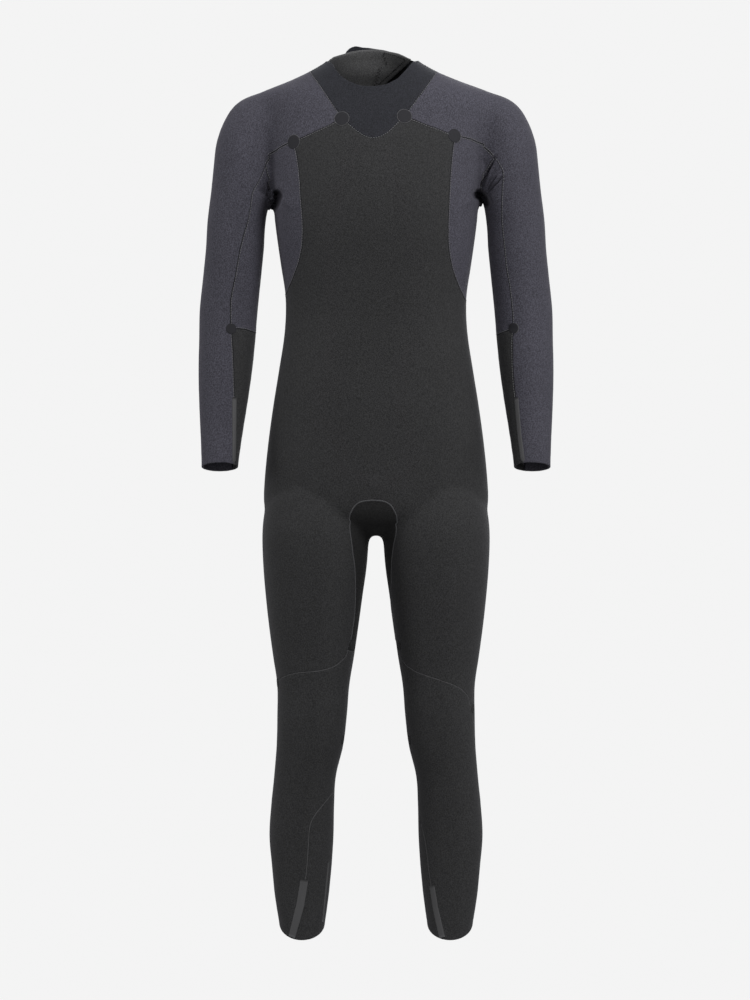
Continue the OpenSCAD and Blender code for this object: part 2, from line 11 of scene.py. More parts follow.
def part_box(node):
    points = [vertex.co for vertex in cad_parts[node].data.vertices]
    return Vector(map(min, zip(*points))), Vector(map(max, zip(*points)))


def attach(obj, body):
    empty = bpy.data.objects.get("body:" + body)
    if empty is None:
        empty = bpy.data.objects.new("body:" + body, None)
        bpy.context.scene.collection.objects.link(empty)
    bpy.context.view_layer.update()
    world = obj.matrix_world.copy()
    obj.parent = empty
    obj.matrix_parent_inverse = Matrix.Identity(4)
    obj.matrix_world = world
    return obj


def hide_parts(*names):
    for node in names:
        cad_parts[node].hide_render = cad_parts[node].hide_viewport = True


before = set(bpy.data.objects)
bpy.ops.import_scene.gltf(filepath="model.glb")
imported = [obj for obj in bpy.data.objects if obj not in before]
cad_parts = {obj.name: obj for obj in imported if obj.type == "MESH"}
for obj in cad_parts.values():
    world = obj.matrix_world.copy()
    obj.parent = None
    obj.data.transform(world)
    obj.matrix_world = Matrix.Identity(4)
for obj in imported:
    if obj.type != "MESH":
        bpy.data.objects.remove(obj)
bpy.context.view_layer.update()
scene = bpy.context.scene
MM = 0.001
HANG_Z = 1388.0  # the CAD origin, measured from the ankle hems
NECK_SHIFT = -5.0
SENSOR = 24.0  # mm, the camera's sensor height

# ---------------------------------------------------------------- camera, floor and light

VIEW_DISTANCE = 60  # metres, so far off that the view is close to a straight elevation
VIEW_HEIGHT = 1.65  # metres of the middle plane that the picture's height takes in
camera_data = bpy.data.cameras.new("camera")
camera = bpy.data.objects.new("camera", camera_data)
scene.collection.objects.link(camera)
scene.camera = camera
camera.location = (-0.0017, -VIEW_DISTANCE, 0.726 - HANG_Z * MM)
camera.rotation_euler = (math.radians(90), 0, 0)
camera_data.sensor_fit = "VERTICAL"
camera_data.sensor_height = SENSOR
camera_data.lens = SENSOR * VIEW_DISTANCE / VIEW_HEIGHT
camera_data.clip_end = 200


def plain_material(name, colour, roughness=0.6, metallic=0.0):
    mat = bpy.data.materials.new(name)
    mat.use_nodes = True
    bsdf = mat.node_tree.nodes["Principled BSDF"]
    bsdf.inputs["Base Color"].default_value = (*colour, 1)
    bsdf.inputs["Roughness"].default_value = roughness
    bsdf.inputs["Metallic"].default_value = metallic
    return mat


FLOOR_DROP = 0.45  # metres from the ankle hems down to the floor
FLOOR_RADIUS = 75.0  # further out than the camera, so that every view round the suit is from inside
WALL_TOP = 6.0
WALL_CURVE = 3.0  # radius of the curve between the floor and its wall
FLOOR_GLOW = 0.896  # the floor's own light, which makes its tone


def ring_faces(rings, around):
    """The faces between rings of points that follow one another."""
    faces = []
    for k in range(rings - 1):
        for i in range(around):
            j = (i + 1) % around
            faces.append((k * around + i, k * around + j, (k + 1) * around + j, (k + 1) * around + i))
    return faces


def make_floor():
    """A round studio floor that curves up into a low wall, lit so evenly that it looks flat."""
    z = -HANG_Z * MM - FLOOR_DROP
    line = [(0.01, z), (FLOOR_RADIUS - WALL_CURVE, z)]
    line += [
        (FLOOR_RADIUS - WALL_CURVE + WALL_CURVE * math.sin(a), z + WALL_CURVE - WALL_CURVE * math.cos(a))
        for a in np.linspace(0.15, math.pi / 2, 10)
    ]
    line.append((FLOOR_RADIUS, WALL_TOP))
    around = 96
    verts = [
        (r * math.cos(2 * math.pi * i / around), r * math.sin(2 * math.pi * i / around), h)
        for r, h in line
        for i in range(around)
    ]
    faces = ring_faces(len(line), around)
    faces.append(tuple(range(around)))
    mesh = bpy.data.meshes.new("floor")
    mesh.from_pydata(verts, [], faces)
    floor = bpy.data.objects.new("floor", mesh)
    scene.collection.objects.link(floor)
    mat = plain_material("floor_pale", (0.02, 0.02, 0.02), 1.0)
    bsdf = mat.node_tree.nodes["Principled BSDF"]
    bsdf.inputs["Specular IOR Level"].default_value = 0
    bsdf.inputs["Emission Color"].default_value = (FLOOR_GLOW, FLOOR_GLOW, FLOOR_GLOW, 1)
    bsdf.inputs["Emission Strength"].default_value = 1
    mesh.materials.append(mat)
    floor.visible_diffuse = False
    floor.visible_glossy = False


def area_light(name, place, aim, size, power):
    data = bpy.data.lights.new(name, "AREA")
    data.shape = "DISK"
    data.size = size
    data.energy = power
    light = bpy.data.objects.new(name, data)
    light.location = place
    light.rotation_euler = (Vector(aim) - Vector(place)).to_track_quat("-Z", "Y").to_euler()
    scene.collection.objects.link(light)


make_floor()
area_light("key", (2.3, -2.6, 1.3), (0, 0, -0.35), 1.7, 106)
area_light("fill", (-1.3, -3.5, 0.95), (0, 0, -0.3), 2.0, 36)
area_light("top", (0.1, -0.5, 2.2), (0, 0, -0.2), 1.4, 30)
area_light("rim_left", (-3.4, -0.5, 0.1), (0, 0, -0.55), 1.2, 42)
area_light("rim_right", (3.4, -0.3, 0.0), (0, 0, -0.55), 1.2, 22)
area_light("behind", (0.8, 3.4, 0.6), (0, 0, -0.6), 2.4, 46)
world = bpy.data.worlds.new("studio")
scene.world = world
world.use_nodes = True
world.node_tree.nodes["Background"].inputs["Color"].default_value = (0.905, 0.905, 0.905, 1)
world.node_tree.nodes["Background"].inputs["Strength"].default_value = 0.42
scene.view_settings.view_transform = "Standard"

# ---------------------------------------------------------------- the body shape, at the CAD's own stations

ZIP_R, ZIP_MID_Z, ZIP_APEX_Y = 1100, 1235, 118  # the zip's arc down the back


def spine(z):
    return ZIP_APEX_Y - ZIP_R + math.sqrt(ZIP_R**2 - (z - ZIP_MID_Z) ** 2)


# (height, centre x, half width, front depth, back depth, squareness), in mm from the ankle hems
TORSO = [
    (668, 0, 16, 26, 32, 2), (674, 0, 100, 44, 54, 2), (684, 0, 158, 70, 84, 2), (702, 0, 180, 88, 105, 2.1),
    (724, 0, 185, 95, 115, 2.2), (750, 0, 184.5, 98, 119, 2.3), (792, 0, 181, 100, 117, 2.4),
    (842, 0, 175, 102, 105, 2.4), (891, 0, 168, 103, 95, 2.4), (941, 0, 160, 103, 86, 2.4),
    (992, 0, 152, 103, spine(992), 2.4), (1027, 0, 149, 104, spine(1027), 2.4),
    (1064, 0, 149.5, 108, spine(1064), 2.4), (1114, 0, 157, 114, spine(1114), 2.4),
    (1163, 0, 164, 121, spine(1163), 2.4), (1213, 0, 170, 124, spine(1213), 2.3),
    (1262, 0, 175, 121, spine(1262), 2.2), (1312, 0, 182, 111, spine(1312), 2.1),
    (1350, 0, 190, 98, spine(1350), 2), (1378, 0, 197, 86, spine(1378), 2),
    (1394, 0, 196, 78, spine(1394), 2), (1403, -1, 183, 74, spine(1403), 2),
    (1411, -2, 158, 71, 101.5, 2), (1419, -3, 137, 68, 96.5, 2), (1427, -4, 118, 66, 90, 2),
    (1435, -5, 101, 64, 84, 2), (1444, -5, 85, 62, 79, 2), (1453, -6, 73, 60, 74.5, 2),
    (1464, -6, 68, 59, 70, 2), (1500, -6, 65, 57, 63, 2),
]
ARM = [
    (740, 260, 29, 66, 0, 2), (792, 257, 31, 66, -7, 2), (841, 254.5, 35.5, 58, 12, 2),
    (891, 251.5, 40.5, 52, 28, 2), (941, 248.5, 44.5, 48, 42, 2), (990, 245.5, 46.5, 44, 54, 2),
    (1040, 243, 48, 42, 59, 2), (1089, 238, 48, 43, 59, 2),
    (1139, 233, 48, 45, 60, 2), (1188, 229.5, 48.5, 46, 62, 2), (1237, 218.5, 53.5, 49, 66, 2),
    (1287, 216, 51, 50, 67, 2), (1312, 214.5, 49.5, 48, 66, 2), (1336, 211, 46, 44, 63, 2),
    (1353, 206.5, 43, 39, 59, 2),
    (1369, 201, 39, 32, 53, 2), (1380, 195, 35, 25, 47, 2), (1389, 188, 29, 17, 40, 2),
    (1396, 182, 20, 8, 33, 2),
]
LEG = [
    (-30, 122, 35, 46, 36, 2), (0, 122, 36, 46, 38, 2), (25, 122, 37.5, 45, 40, 2),
    (74, 122.5, 44.5, 43, 46, 2), (124, 122.5, 49.5, 44, 56, 2), (173, 123, 53, 46, 64, 2),
    (223, 121, 52, 49, 66, 2), (272, 117, 51, 53, 60, 2), (322, 109, 55, 59, 54, 2),
    (371, 105.5, 57.5, 64, 55, 2), (421, 103.5, 59.5, 66, 60, 2), (470, 103, 67, 72, 68, 2),
    (520, 102.7, 74, 79, 76, 2), (569, 102, 80, 86, 84, 2), (619, 100.5, 85.5, 92, 93, 2.1),
    (668, 99.5, 88, 95, 103, 2.2), (700, 97.5, 87.5, 92, 106, 2.2), (730, 95, 84, 86, 102, 2.2),
    (765, 90, 74, 73, 91, 2.2),
]


def stations(table, heights):
    """Every column of a station table at the given heights, on the same smooth cubic as the CAD."""
    t = np.array(table, float)
    n = len(t)
    lo, hi = np.maximum(np.arange(n) - 1, 0), np.minimum(np.arange(n) + 1, n - 1)
    slope = (t[hi] - t[lo]) / (t[hi, :1] - t[lo, :1])
    heights = np.asarray(heights, float)
    i = np.clip(np.searchsorted(t[:, 0], heights, side="left") - 1, 0, n - 2)
    h = (t[i + 1, 0] - t[i, 0])[:, None]
    u = ((heights - t[i, 0])[:, None]) / h
    return (
        t[i] * (1 + 2 * u) * (1 - u) ** 2
        + slope[i] * h * u * (1 - u) ** 2
        + t[i + 1] * u**2 * (3 - 2 * u)
        + slope[i + 1] * h * u**2 * (u - 1)
    )


def ring_points(table, heights, angles, inset=0.0):
    """Points on the shape: one row per height, one column per angle, in mm."""
    s = stations(table, heights)
    cx, a = s[:, 1:2], np.maximum(s[:, 2:3] - inset, 1)
    front, back, sq = s[:, 3:4] - inset, s[:, 4:5] - inset, s[:, 5:6]
    mid, b = (back - front) / 2, np.maximum((front + back) / 2, 1)
    c, d = np.cos(angles)[None, :], np.sin(angles)[None, :]
    x = cx + a * np.sign(c) * np.abs(c) ** (2 / sq)
    y = mid + b * np.sign(d) * np.abs(d) ** (2 / sq)
    z = np.repeat(np.asarray(heights, float)[:, None], len(angles), 1)
    return np.stack([x, y, z], -1)


def loft(table, mirror=1, around=72, step=6.0):
    """A closed mesh through a table's stations; a mirror of -1 makes the right side's."""
    z = np.linspace(table[0][0], table[-1][0], int((table[-1][0] - table[0][0]) / step))
    points = ring_points(table, z, np.linspace(0, 2 * math.pi, around, endpoint=False))
    points[..., 0] *= mirror
    rows = len(z)
    verts = points.reshape(-1, 3)
    faces = []
    for k in range(rows - 1):
        for i in range(around):
            j = (i + 1) % around
            quad = (k * around + i, k * around + j, (k + 1) * around + j, (k + 1) * around + i)
            faces.append(quad if mirror > 0 else quad[::-1])
    faces.append(tuple(range(around))[:: -1 if mirror > 0 else 1])
    faces.append(tuple((rows - 1) * around + i for i in range(around))[:: 1 if mirror > 0 else -1])
    return verts, faces


def fused_skin(voxel):
    """The torso, arms and legs as one closed triangle mesh, from a voxel remesh."""
    verts, faces = [], []
    for table, side in ((TORSO, 1), (ARM, 1), (ARM, -1), (LEG, 1), (LEG, -1)):
        v, f = loft(table, side)
        base = len(verts)
        verts.extend(map(tuple, v * MM))
        faces.extend(tuple(i + base for i in face) for face in f)
    mesh = bpy.data.meshes.new("skin_source")
    mesh.from_pydata(verts, [], faces)
    ob = bpy.data.objects.new("skin_source", mesh)
    scene.collection.objects.link(ob)
    remesh = ob.modifiers.new("remesh", "REMESH")
    remesh.mode = "VOXEL"
    remesh.voxel_size = voxel
    bpy.context.view_layer.update()
    done = ob.evaluated_get(bpy.context.evaluated_depsgraph_get())
    fused = bpy.data.meshes.new_from_object(done)
    bpy.data.objects.remove(ob)
    bm = bmesh.new()
    bm.from_mesh(fused)
    bmesh.ops.triangulate(bm, faces=bm.faces)
    bm.to_mesh(fused)
    bm.free()
    co = np.zeros(len(fused.vertices) * 3)
    fused.vertices.foreach_get("co", co)
    tri = np.zeros(len(fused.polygons) * 3, int)
    fused.polygons.foreach_get("vertices", tri)
    bpy.data.meshes.remove(fused)
    return co.reshape(-1, 3) / MM, tri.reshape(-1, 3)


def edges_of(tri):
    e = np.vstack([tri[:, [0, 1]], tri[:, [1, 2]], tri[:, [2, 0]]])
    return np.unique(np.sort(e, axis=1), axis=0)


def relax(co, edges, rounds, weight):
    """Moves each point towards the mean of its neighbours."""
    count = np.bincount(edges.ravel(), minlength=len(co)).astype(float)
    for _ in range(rounds):
        total = np.zeros_like(co)
        np.add.at(total, edges[:, 0], co[edges[:, 1]])
        np.add.at(total, edges[:, 1], co[edges[:, 0]])
        mean = total / np.maximum(count, 1)[:, None]
        co = co + (mean - co) * np.asarray(weight)
    return co


def normals_of(co, tri):
    """The way out of the skin at each point."""
    n = np.cross(co[tri[:, 1]] - co[tri[:, 0]], co[tri[:, 2]] - co[tri[:, 0]])
    out = np.zeros_like(co)
    for k in range(3):
        np.add.at(out, tri[:, k], n)
    return out / np.maximum(np.linalg.norm(out, axis=1), 1e-12)[:, None]


def polyline_distance(p, line):
    """Distance from 2-D points to a polyline, and how far along it the nearest place is, from 0 to 1."""
    best = np.full(len(p), 1e9)
    along = np.zeros(len(p))
    line = np.asarray(line, float)
    length = np.linalg.norm(np.diff(line, axis=0), axis=1)
    total, run = length.sum(), 0.0
    for a, b, l in zip(line[:-1], line[1:], length):
        t = np.clip(((p - a) @ (b - a)) / (l * l), 0, 1)
        d = np.linalg.norm(p - (a + t[:, None] * (b - a)), axis=1)
        near = d < best
        best[near] = d[near]
        along[near] = (run + t[near] * l) / total
        run += l
    return best, along


# Soft folds in the neoprene: front-view path, height (negative is a hollow), half width, and -1 for the front
FOLDS = [
    ([(168, 1290), (163, 1262), (160, 1238), (150, 1218)], 2.4, 9, -1),
    ([(-166, 1262), (-160, 1242), (-150, 1224), (-136, 1212)], 2.4, 8, -1),
    ([(184, 1262), (178, 1244), (174, 1222)], -4.0, 12, -1),
    ([(-186, 1258), (-180, 1242), (-172, 1222)], -4.0, 13, -1),
    ([(-204, 1016), (-222, 1010), (-236, 1016)], -1.4, 7, -1),
    ([(205, 1014), (222, 1008), (238, 1014)], -1.4, 7, -1),
    ([(60, 742), (92, 722), (130, 716)], -1.0, 14, -1),
    ([(-64, 742), (-96, 722), (-134, 716)], -1.0, 14, -1),
    ([(-22, 742), (-5, 752), (14, 742)], 1.6, 12, -1),
    ([(70, 388), (105, 380), (145, 384)], -1.6, 10, 1),
    ([(-70, 388), (-105, 380), (-145, 384)], -1.6, 10, 1),
    ([(70, 372), (105, 366), (142, 370)], 1.2, 10, 1),
    ([(-70, 372), (-105, 366), (-142, 370)], 1.2, 10, 1),
    ([(40, 690), (90, 672), (150, 690)], -2.0, 11, 1),
    ([(-40, 690), (-90, 672), (-150, 690)], -2.0, 11, 1),
    ([(200, 1200), (226, 1186), (250, 1196)], -1.4, 10, 1),
    ([(-200, 1200), (-226, 1186), (-250, 1196)], -1.4, 10, 1),
]


# Sharp creases at the armpits, in the same form, and the hollows that they run into: path, depth, half width
CREASES = [
    ([(196, 1290), (188, 1276), (181, 1262), (175, 1248), (173, 1234), (173, 1226)], -7.5, 1.9, -1),
    ([(193, 1275), (187, 1263), (182, 1251), (179, 1236)], 3.6, 1.8, -1),
    ([(187, 1266), (182, 1254), (178.5, 1242)], -4.2, 1.3, -1),
    ([(207, 1258), (198, 1247), (190, 1239), (183, 1231)], -6.5, 1.4, -1),
    ([(204, 1250), (196, 1241), (188, 1232)], 3.0, 1.6, -1),
    ([(204, 1262), (197, 1253), (189, 1245), (183, 1238)], 3.2, 1.7, -1),
    ([(198, 1259), (192, 1250), (187, 1242), (183, 1235)], -5.0, 1.3, -1),
    ([(190, 1252), (186, 1244), (182, 1236)], 2.4, 1.5, -1),
    ([(160, 1226), (154, 1218), (146, 1212)], 1.4, 5, -1),
    ([(-177, 1248), (-176, 1240), (-177, 1230), (-174, 1220), (-172, 1212)], -8.5, 2.0, -1),
    ([(-192, 1240), (-186, 1235), (-179, 1230)], -4.0, 5.0, -1),
    ([(-172, 1238), (-170, 1228), (-172, 1218), (-178, 1210)], 3.0, 2.2, -1),
    ([(-154, 1222), (-147, 1214), (-140, 1208)], 1.6, 4, -1),
]
HOLLOWS = [
    ([(-162, 1231), (-160, 1228), (-165, 1216), (-173, 1204)], 46.0, 6.6),
    ([(167, 1230), (172, 1228), (178, 1222), (180, 1216)], 46.0, 7.6),
]
# The tops of the gaps between arms and chest: place in the front view, how far up they are drawn, half width
GAPS = [(-180, 1202, 9.0, 10.0), (178, 1204, 14.0, 11.0)]


def raise_gaps(co):
    """Draws the tops of the gaps between the arms and the chest upward."""
    co = co.copy()
    for x, z, up, width in GAPS:
        co[:, 2] += up * np.exp(-(((co[:, 0] - x) / width) ** 2)) * np.exp(-(((co[:, 2] - z) / 17) ** 2))
    return co


def hollow(co):
    """Pushes the hollows straight back into the front of the suit."""
    push = np.zeros(len(co))
    for path, depth, width in HOLLOWS:
        d, _ = polyline_distance(co[:, [0, 2]], path)
        push = np.maximum(push, depth * np.exp(-((d / width) ** 4)) * np.clip((45 - co[:, 1]) / 80, 0, 1))
    co = co.copy()
    co[:, 1] += push
    return co


def fold(co, tri, folds):
    """Lifts or sinks the skin along each fold's path, on the side that the fold is on."""
    normal = normals_of(co, tri)
    lift = np.zeros(len(co))
    for path, height, width, side in folds:
        facing = np.clip(normal[:, 1] * side * 2.5 + 0.9, 0, 1) * (co[:, 1] * side > -12)
        d, along = polyline_distance(co[:, [0, 2]], path)
        taper = np.sin(math.pi * np.clip(along, 0.06, 0.9)) ** 0.6
        lift += height * np.exp(-((d / width) ** 2)) * facing * taper
    return co + normal * lift[:, None]


# ---------------------------------------------------------------- openings and panels

# (distance from the neck's middle, height), for the wearer's left and right
NECKLINE = np.array([
    (0, 1408), (22, 1411), (41, 1421), (55, 1436), (66, 1449), (90, 1454), (160, 1454),
], float)
NECKLINE_RIGHT = np.array([
    (0, 1408), (21, 1409), (41, 1416.5), (55, 1427), (63, 1438), (68, 1447), (90, 1454), (160, 1454),
], float)
COLLAR_TOP = np.array([
    (-80, 1450), (-73, 1453), (-69, 1456.3), (-60, 1459.5), (-51, 1462.3), (-44, 1465), (-36, 1467),
    (-26, 1468.5), (-16, 1469.4), (-2, 1470), (8, 1468.8), (20, 1466.5), (28, 1464.8), (36, 1462.8),
    (44, 1459), (52, 1454.5), (58, 1452), (64, 1450),
], float)
HEM_TILT = math.radians(31)
CUFF_TILT = math.radians(14)
HEM_AT = (-46.0, 0.0)  # y and z of the hems' lowest place
CUFF_AT = (-66.0, 788.0)  # y and z of the cuffs' front
CUFF_OUT = 195  # further out than this is an arm
LEG_TOP, ARM_LOW, ARM_TOP = 120, 700, 900  # heights that bound the hems and the cuffs
SLOT_HALF = 8.5  # half width of the slot for the zip


def neck_top(x, y):
    """Height of the neckline over a place in plan."""
    off = np.abs(x - NECK_SHIFT)
    left, right = (np.interp(off, line[:, 0], line[:, 1]) for line in (NECKLINE, NECKLINE_RIGHT))
    front = np.where(np.asarray(x) < NECK_SHIFT, right, left)
    back = np.interp(x, COLLAR_TOP[:, 0], COLLAR_TOP[:, 1])
    mix = np.clip((np.asarray(y) - 1) / 9, 0, 1)
    return front * (1 - mix) + back * mix


def open_field(p):
    """Positive on the skin, negative in the neck, cuffs, hems and the slot for the zip."""
    x, y, z = p.T
    neck = (neck_top(x, y) - z) * 0.85
    neck = np.where(z > 1390, neck, 99)
    cuff = (y - CUFF_AT[0]) * math.sin(CUFF_TILT) + (z - CUFF_AT[1]) * math.cos(CUFF_TILT)
    cuff = np.where((np.abs(x) > CUFF_OUT) & (z < ARM_TOP), cuff, 99)
    hem = -(y - HEM_AT[0]) * math.sin(HEM_TILT) + (z - HEM_AT[1]) * math.cos(HEM_TILT)
    hem = np.where(z < LEG_TOP, hem, 99)
    slot = np.maximum(np.maximum(np.abs(x) - SLOT_HALF, 974 - z), z - 1405)
    slot = np.where(y > 20, slot, 99)
    return np.minimum(np.minimum(neck, cuff), np.minimum(hem, slot))


PANELS = [
    "collar_yoke", "collar_back_left", "collar_back_right", "front_panel",
    "upper_back_left", "upper_back_right", "seat_panel", "crotch_gusset",
    "sleeve_left", "sleeve_right", "side_panel_left", "side_panel_right",
    "underarm_panel_left", "underarm_panel_right", "forearm_panel_left", "forearm_panel_right",
    "knee_panel_left", "knee_panel_right", "inner_calf_panel_left", "inner_calf_panel_right",
    "calf_panel_left", "calf_panel_right",
]
FAR = 60.0
REACH = 0.02  # metres round a panel's box within which its distance counts


def panel_distances(co):
    """Distance in mm from every skin point to every CAD panel, FAR when it is further than that."""
    dist = np.full((len(co), len(PANELS)), FAR)
    lifted = co.copy()
    lifted[:, 2] -= HANG_Z
    lifted *= MM
    for k, name in enumerate(PANELS):
        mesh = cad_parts[name].data
        tree = BVHTree.FromPolygons([v.co for v in mesh.vertices], [tuple(f.vertices) for f in mesh.polygons])
        lo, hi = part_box(name)
        near = np.all((lifted > np.array(lo) - REACH) & (lifted < np.array(hi) + REACH), axis=1)
        for i in np.nonzero(near)[0]:
            hit = tree.find_nearest(lifted[i], FAR * MM)
            if hit[3] is not None:
                dist[i, k] = hit[3] / MM
    return dist


def refine(co, tri, near):
    """Splits every triangle that touches a marked point, and keeps the mesh free of gaps."""
    edges = edges_of(tri)
    cut = near[edges[:, 0]] & near[edges[:, 1]]
    key = {}
    extra = []
    for a, b in edges[cut]:
        key[(a, b)] = len(co) + len(extra)
        extra.append((co[a] + co[b]) / 2)
    new_tri = []
    keep = []
    for f, (a, b, c) in enumerate(tri):
        m = [key.get((min(p, q), max(p, q))) for p, q in ((a, b), (b, c), (c, a))]
        n = sum(v is not None for v in m)
        if n == 0:
            keep.append(f)
        elif n == 3:
            new_tri += [(a, m[0], m[2]), (m[0], b, m[1]), (m[2], m[1], c), (m[0], m[1], m[2])]
        else:
            ring = []
            for p, v in zip((a, b, c), m):
                ring.append(p)
                if v is not None:
                    ring.append(v)
            # start the fan at a midpoint, so that no triangle is flat
            s = next(i for i, v in enumerate(ring) if v >= len(co))
            ring = ring[s:] + ring[:s]
            new_tri += [(ring[0], ring[i], ring[i + 1]) for i in range(1, len(ring) - 1)]
    return np.vstack([co, np.array(extra)]), np.vstack([tri[keep], np.array(new_tri, int)])


def split_by_label(co, tri, dist):
    """Cuts the mesh where the nearest label changes.

    Returns the points, the triangles, a label for each triangle and the seam's edges.
    """
    label = dist.argmin(1)
    same = (label[tri[:, 0]] == label[tri[:, 1]]) & (label[tri[:, 1]] == label[tri[:, 2]])
    out, out_label = [tuple(t) for t in tri[same]], list(label[tri[same][:, 0]])
    points = list(co)
    crossing = {}
    seam = []

    def cross(i, j):
        key = (i, j) if i < j else (j, i)
        if key not in crossing:
            i, j = key
            fi = dist[i, label[j]] - dist[i, label[i]]
            fj = dist[j, label[i]] - dist[j, label[j]]
            t = min(max(fi / max(fi + fj, 1e-6), 0.18), 0.82)
            crossing[key] = len(points)
            points.append(co[i] * (1 - t) + co[j] * t)
        return crossing[key]

    for tri_ids in tri[~same]:
        ids = [int(v) for v in tri_ids]
        labs = [label[v] for v in ids]
        if len(set(labs)) == 2:
            k = next(q for q in range(3) if labs.count(labs[q]) == 1)
            a, b, c = ids[k], ids[(k + 1) % 3], ids[(k + 2) % 3]
            ab, ac = cross(a, b), cross(a, c)
            out += [(a, ab, ac), (ab, b, c), (ab, c, ac)]
            out_label += [label[a], label[b], label[b]]
            seam.append((ab, ac, label[a], label[b]))
        else:
            a, b, c = ids
            ab, bc, ca = cross(a, b), cross(b, c), cross(c, a)
            m = len(points)
            points.append((points[ab] + points[bc] + points[ca]) / 3)
            out += [(a, ab, m), (a, m, ca), (b, bc, m), (b, m, ab), (c, ca, m), (c, m, bc)]
            out_label += [labs[0], labs[0], labs[1], labs[1], labs[2], labs[2]]
            seam += [(ab, m, labs[0], labs[1]), (bc, m, labs[1], labs[2]), (ca, m, labs[2], labs[0])]
    return np.array(points), np.array(out), np.array(out_label), seam


def chains(pairs):
    """Joins loose edges into runs of points that end at junctions."""
    links = {}
    for a, b in pairs:
        links.setdefault(a, []).append(b)
        links.setdefault(b, []).append(a)
    used = set()
    runs = []

    def walk(a, b):
        run = [a, b]
        used.add((min(a, b), max(a, b)))
        while len(links[run[-1]]) == 2:
            nxt = [q for q in links[run[-1]] if q != run[-2]]
            if not nxt or (min(run[-1], nxt[0]), max(run[-1], nxt[0])) in used:
                break
            used.add((min(run[-1], nxt[0]), max(run[-1], nxt[0])))
            run.append(nxt[0])
        return run

    for start in sorted(links, key=lambda v: len(links[v]) == 2):
        for nxt in links[start]:
            if (min(start, nxt), max(start, nxt)) not in used:
                runs.append(walk(start, nxt))
    return runs


def smooth_runs(co, runs, rounds):
    """Evens out each run of points in place, and leaves its ends where they are."""
    for run in runs:
        ids = np.array(run)
        p = co[ids]
        closed = len(run) > 3 and run[0] == run[-1]
        for _ in range(rounds):
            q = p.copy()
            q[1:-1] = 0.5 * p[1:-1] + 0.25 * (p[:-2] + p[2:])
            if closed:
                q[0] = q[-1] = 0.5 * p[0] + 0.25 * (p[1] + p[-2])
            p = q
        co[ids] = p


# ---------------------------------------------------------------- mesh helpers

LIFT = np.array([0, 0, HANG_Z])


def add_mesh(name, points_mm, faces, material, body="suit", replaces=(), slot=None):
    """Makes a piece from points measured from the ankle hems, and lets it ride a body."""
    mesh = bpy.data.meshes.new(name)
    points = (np.asarray(points_mm, float) - LIFT) * MM
    mesh.from_pydata([tuple(p) for p in points], [], [tuple(map(int, f)) for f in faces])
    mesh.materials.append(material)
    mesh.shade_smooth()
    mesh.update()
    ob = bpy.data.objects.new(name, mesh)
    scene.collection.objects.link(ob)
    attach(ob, body)
    if replaces:
        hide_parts(*replaces)
    return ob


def thicken(ob, thickness):
    """Gives a sheet its thickness, on the inside of its surface."""
    mod = ob.modifiers.new("thickness", "SOLIDIFY")
    mod.thickness = thickness
    mod.offset = -1
    apply_modifiers(ob)


def apply_modifiers(ob):
    bpy.context.view_layer.update()
    done = ob.evaluated_get(bpy.context.evaluated_depsgraph_get())
    mesh = bpy.data.meshes.new_from_object(done)
    old = ob.data
    ob.modifiers.clear()
    ob.data = mesh
    mesh.name = old.name
    bpy.data.meshes.remove(old)


# The planes of the hems and cuffs: the heights that they lie between, their place and tilt, and the least
# distance from the middle
RIMS = [
    (-60, LEG_TOP, HEM_AT, -HEM_TILT, 0),
    (ARM_LOW, ARM_TOP, CUFF_AT, CUFF_TILT, CUFF_OUT),
]


def level_rims(ob):
    """Moves the points that the thickness has pushed past a hem or a cuff back into its plane."""
    co = np.zeros(len(ob.data.vertices) * 3)
    ob.data.vertices.foreach_get("co", co)
    p = co.reshape(-1, 3) / MM + LIFT
    for low, high, (y0, z0), tilt, out in RIMS:
        past = (p[:, 1] - y0) * math.sin(tilt) + (p[:, 2] - z0) * math.cos(tilt)
        past[(past > 0) | (p[:, 2] < low) | (p[:, 2] > high) | (np.abs(p[:, 0]) < out)] = 0
        p[:, 1] -= past * math.sin(tilt)
        p[:, 2] -= past * math.cos(tilt)
    ob.data.vertices.foreach_set("co", ((p - LIFT) * MM).ravel())
    ob.data.update()


def resample(line, step):
    """Points along a line at even distances of about one step."""
    line = np.asarray(line, float)
    length = np.concatenate([[0], np.cumsum(np.linalg.norm(np.diff(line, axis=0), axis=1))])
    n = max(2, int(round(length[-1] / step)) + 1)
    s = np.linspace(0, length[-1], n)
    return np.stack([np.interp(s, length, line[:, k]) for k in range(3)], 1)


def tube(line, up, half_w, half_h, around=8, sink=0.0):
    """A flattened tube along a line, with up as the way out of the surface at each point."""
    line, up = np.asarray(line, float), np.asarray(up, float)
    tangent = np.gradient(line, axis=0)
    tangent /= np.maximum(np.linalg.norm(tangent, axis=1), 1e-9)[:, None]
    across = np.cross(tangent, up)
    across /= np.maximum(np.linalg.norm(across, axis=1), 1e-9)[:, None]
    n = len(line)
    a = np.linspace(0, 2 * math.pi, around, endpoint=False)
    pts = (
        line[:, None, :]
        + across[:, None, :] * (half_w * np.cos(a))[None, :, None]
        + up[:, None, :] * (half_h * np.sin(a) - sink)[None, :, None]
    ).reshape(-1, 3)
    faces = ring_faces(n, around)
    faces.append(tuple(range(around))[::-1])
    faces.append(tuple((n - 1) * around + i for i in range(around)))
    return pts, faces


def joined(parts):
    """One mesh's points and faces from several."""
    points, faces, base = [], [], 0
    for p, f in parts:
        points.append(np.asarray(p))
        faces += [tuple(i + base for i in q) for q in f]
        base += len(p)
    return np.vstack(points), faces


# ---------------------------------------------------------------- materials


